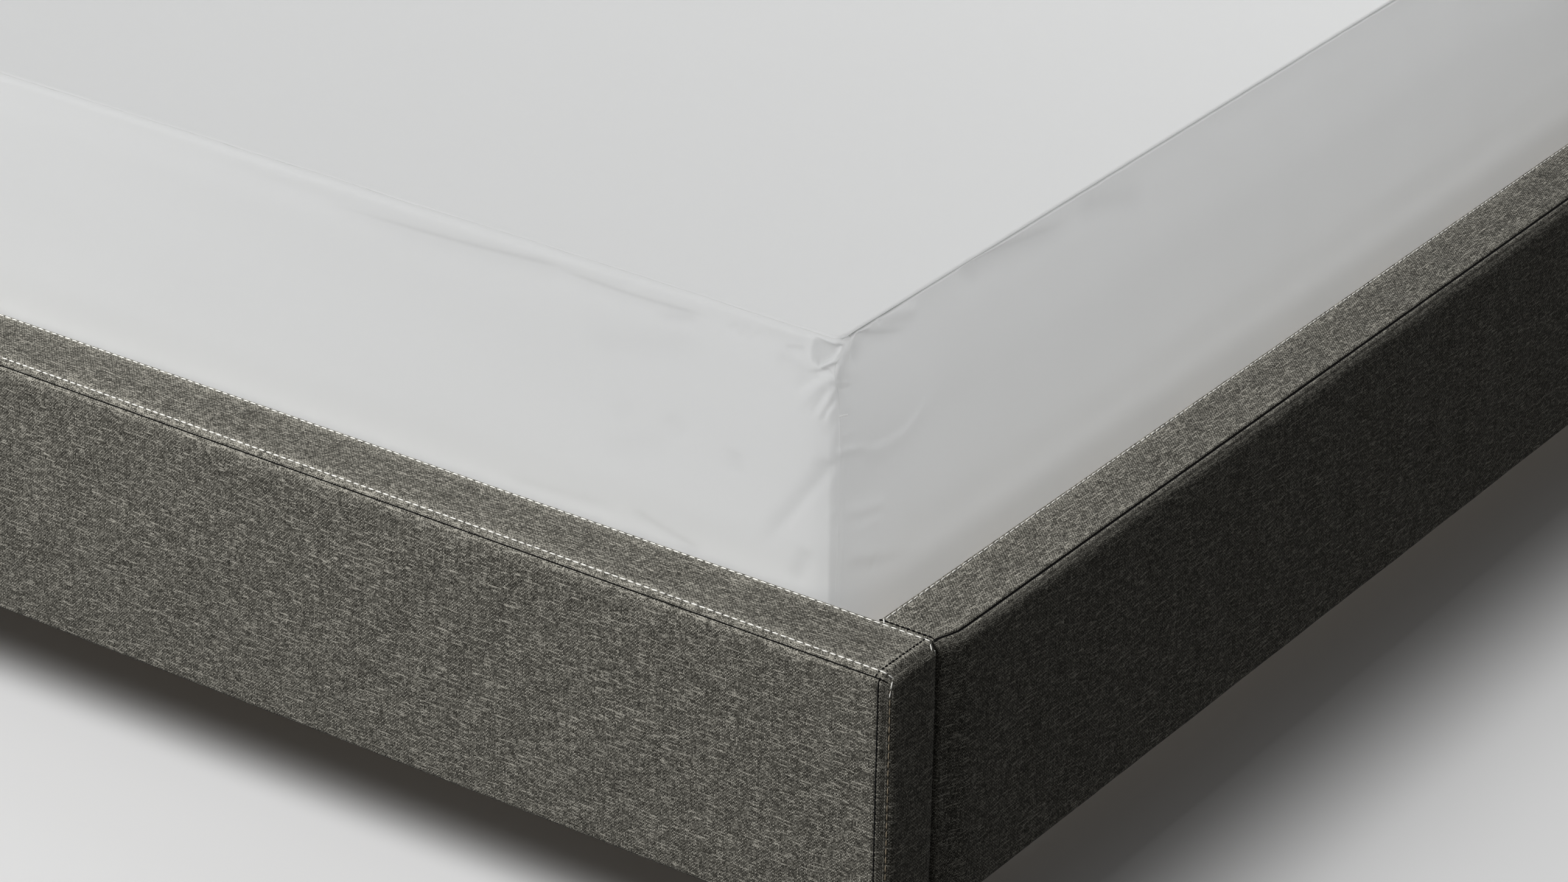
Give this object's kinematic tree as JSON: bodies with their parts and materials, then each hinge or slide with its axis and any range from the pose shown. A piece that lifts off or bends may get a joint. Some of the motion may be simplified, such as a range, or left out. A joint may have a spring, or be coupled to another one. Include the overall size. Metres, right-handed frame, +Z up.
{
  "type": "mattress protector on a mattress and upholstered bed",
  "caption": "Fitted cloth mattress protector with a flat sewn top panel and softly creased skirts, on a mattress in a low tweed-covered bed frame.",
  "frame": {"origin": "on the floor below the middle of the bed", "axes": "+X across the bed, +Y along the bed from its foot to its head, +Z up"},
  "size_m": [1.738, 2.198, 0.6114],
  "materials": {
    "protector_cloth": "plain smooth white polycotton, fine even weave, matt",
    "mattress_ticking": "off-white woven ticking, matt",
    "rail_tweed": "heathered mid and dark grey upholstery weave, white topstitching, matt",
    "slat_wood": "pale planed softwood",
    "leg_wood": "black stained wood, satin"
  },
  "bodies": {
    "root": {"protector_top_panel": "protector_cloth", "protector_skirt_foot": "protector_cloth", "protector_skirt_right": "protector_cloth", "protector_skirt_head": "protector_cloth", "protector_skirt_left": "protector_cloth", "mattress": "mattress_ticking", "foot_rail": "rail_tweed", "head_rail": "rail_tweed", "side_rail_left": "rail_tweed", "side_rail_right": "rail_tweed", "ledger_left": "slat_wood", "ledger_right": "slat_wood", "centre_beam": "slat_wood", "slat_1": "slat_wood", "slat_2": "slat_wood", "slat_3": "slat_wood", "slat_4": "slat_wood", "slat_5": "slat_wood", "slat_6": "slat_wood", "slat_7": "slat_wood", "slat_8": "slat_wood", "slat_9": "slat_wood", "slat_10": "slat_wood", "slat_11": "slat_wood", "slat_12": "slat_wood", "leg_foot_left": "leg_wood", "leg_foot_right": "leg_wood", "leg_head_left": "leg_wood", "leg_head_right": "leg_wood", "centre_leg_foot": "leg_wood", "centre_leg_head": "leg_wood"}
  },
  "joints": []
}
